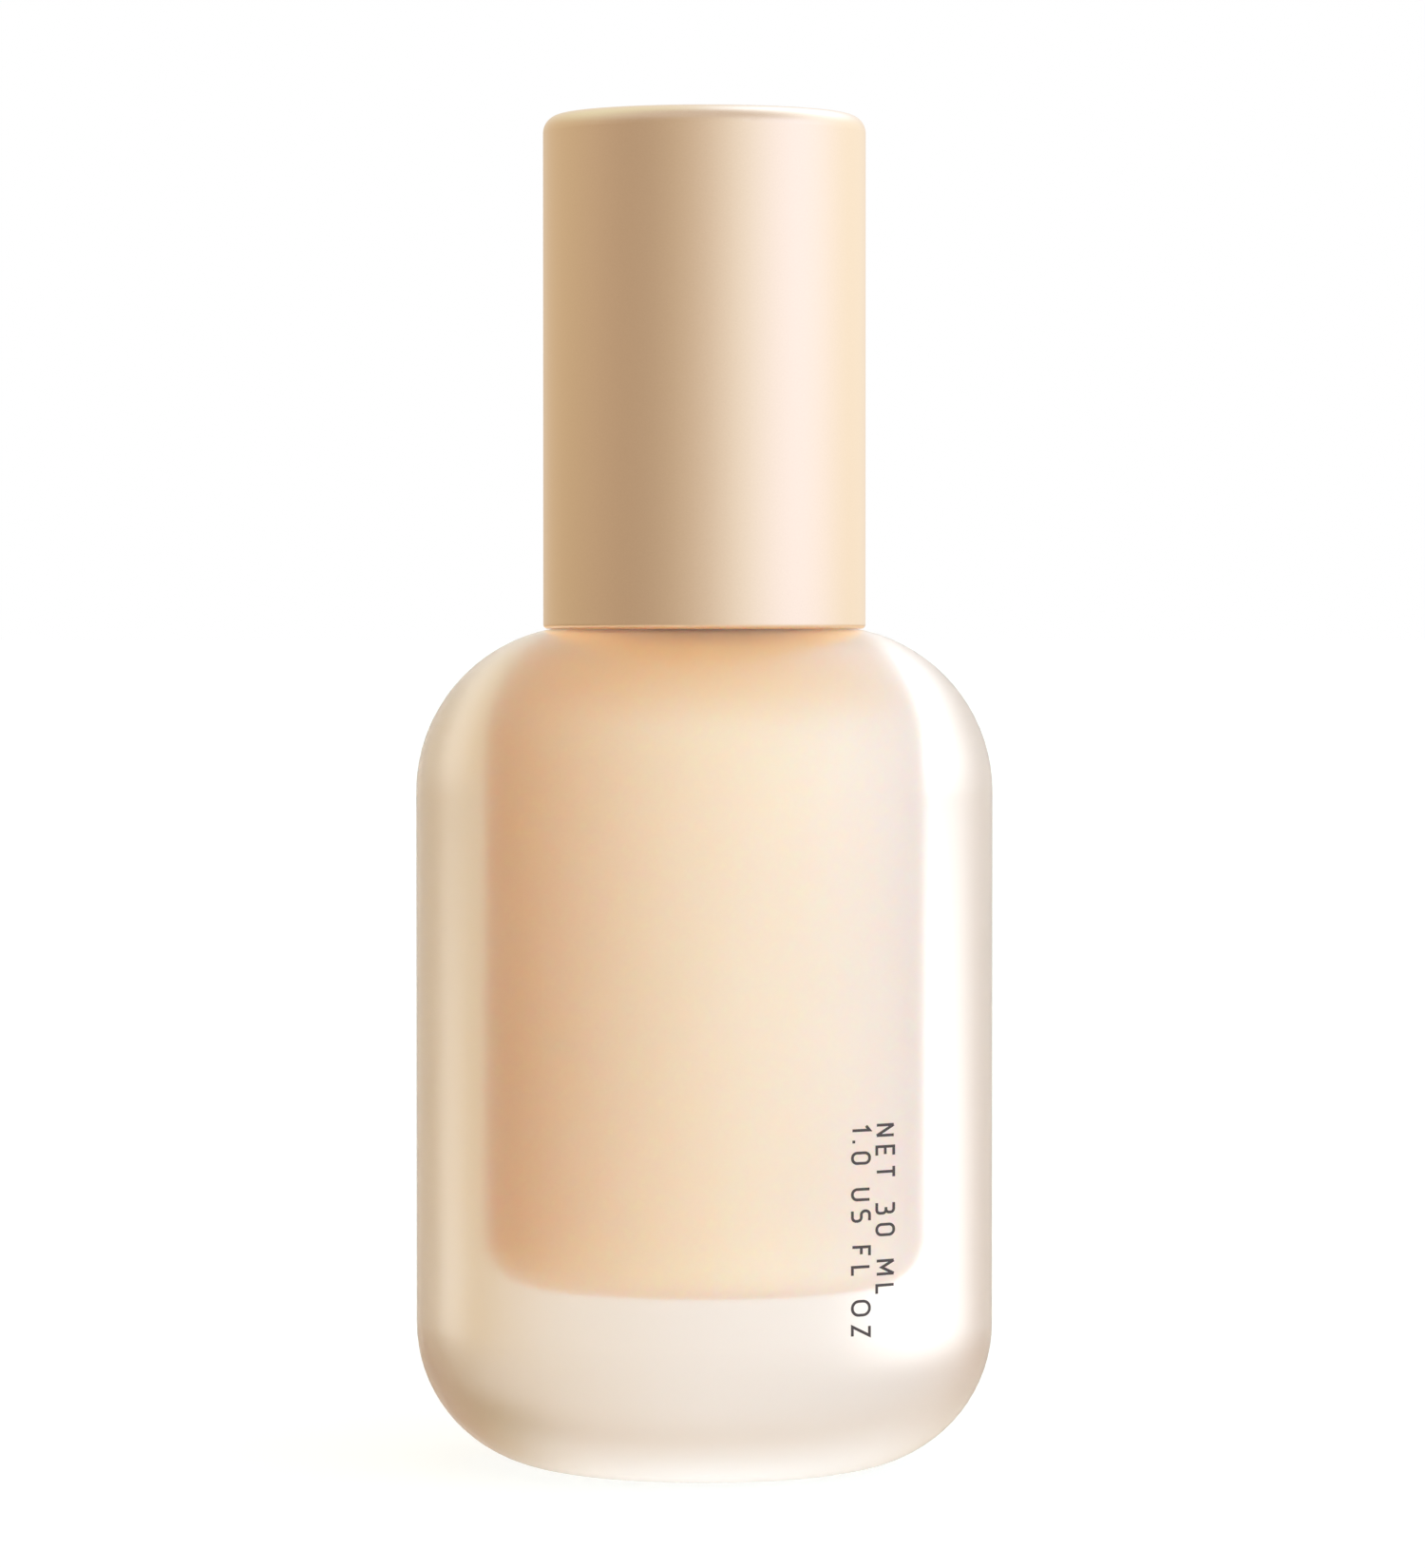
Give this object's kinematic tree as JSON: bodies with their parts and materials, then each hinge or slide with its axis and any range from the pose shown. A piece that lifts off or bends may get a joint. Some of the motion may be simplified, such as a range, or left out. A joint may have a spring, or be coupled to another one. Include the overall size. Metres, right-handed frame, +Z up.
{
  "type": "foundation pump bottle",
  "caption": "Thick frosted glass bottle of liquid foundation, with a screw-on treatment pump under a tall matte metal overcap.",
  "frame": {"origin": "centre of the base, on the plane that the bottle stands on", "axes": "+Z up along the bottle's axis; -Y is the front, where the spout points; +X is to the right seen from the front"},
  "size_m": [0.0447, 0.0446, 0.1046],
  "materials": {
    "frosted_glass": "acid-etched, satin",
    "foundation_liquid": "opaque liquid",
    "print_ink": "screen-printed ink",
    "champagne_aluminium": "fine matte champagne-gold anodising",
    "liner_plastic": "moulded polypropylene",
    "closure_plastic": "moulded polypropylene",
    "pump_plastic": "natural translucent polypropylene",
    "seal_plastic": "soft polyethylene",
    "tube_plastic": "extruded polyethylene",
    "gasket_foam": "closed-cell foam",
    "spring_steel": "drawn stainless wire",
    "ball_steel": "polished stainless"
  },
  "bodies": {
    "bottle": {"glass_bottle": "frosted_glass", "foundation_fill": "foundation_liquid", "volume_print": "print_ink"},
    "pump": {"chamber_housing": "pump_plastic", "chaplet": "pump_plastic", "ball_cage": "pump_plastic", "dip_tube": "tube_plastic", "neck_gasket": "gasket_foam"},
    "closure": {"screw_closure": "closure_plastic", "collar_sleeve": "champagne_aluminium"},
    "overcap": {"cap_shell": "champagne_aluminium", "cap_liner": "liner_plastic"},
    "spring": {"return_spring": "spring_steel"},
    "head": {"actuator_core": "closure_plastic", "actuator_shell": "champagne_aluminium", "nozzle_insert": "closure_plastic", "stem": "pump_plastic", "plunger_plug": "pump_plastic"},
    "piston": {"piston": "seal_plastic"},
    "ball": {"inlet_ball": "ball_steel"}
  },
  "joints": [
    {"name": "pump_lift", "type": "slide", "parent": "bottle", "child": "pump", "axis": [0, 0, 1], "range_m": [0, 0.00397]},
    {"name": "closure_turn", "type": "hinge", "parent": "pump", "child": "closure", "pos_m": [0, 0, 0.0711], "axis": [0, 0, 1], "range_deg": [0, 450]},
    {"name": "overcap_pull", "type": "slide", "parent": "closure", "child": "overcap", "axis": [0, 0, 1], "range_m": [0, 0.042]},
    {"name": "head_turn", "type": "hinge", "parent": "pump", "child": "spring", "pos_m": [0, 0, 0.0786], "axis": [0, 0, 1], "continuous": true},
    {"name": "head_press", "type": "slide", "parent": "spring", "child": "head", "axis": [0, 0, -1], "range_m": [0, 0.004], "stiffness_N_per_m": 1400, "deforming": ["return_spring"]},
    {"name": "piston_float", "type": "slide", "parent": "head", "child": "piston", "axis": [0, 0, 1], "range_m": [0, 0.0008]},
    {"name": "ball_lift", "type": "slide", "parent": "pump", "child": "ball", "axis": [0, 0, 1], "range_m": [0, 0.0015]}
  ],
  "couplings": [
    {"joint": "closure_turn", "follows": "pump_lift", "rad_per_m": 1979},
    {"joint": "piston_float", "follows": "head_press", "ratio": 0.2}
  ]
}
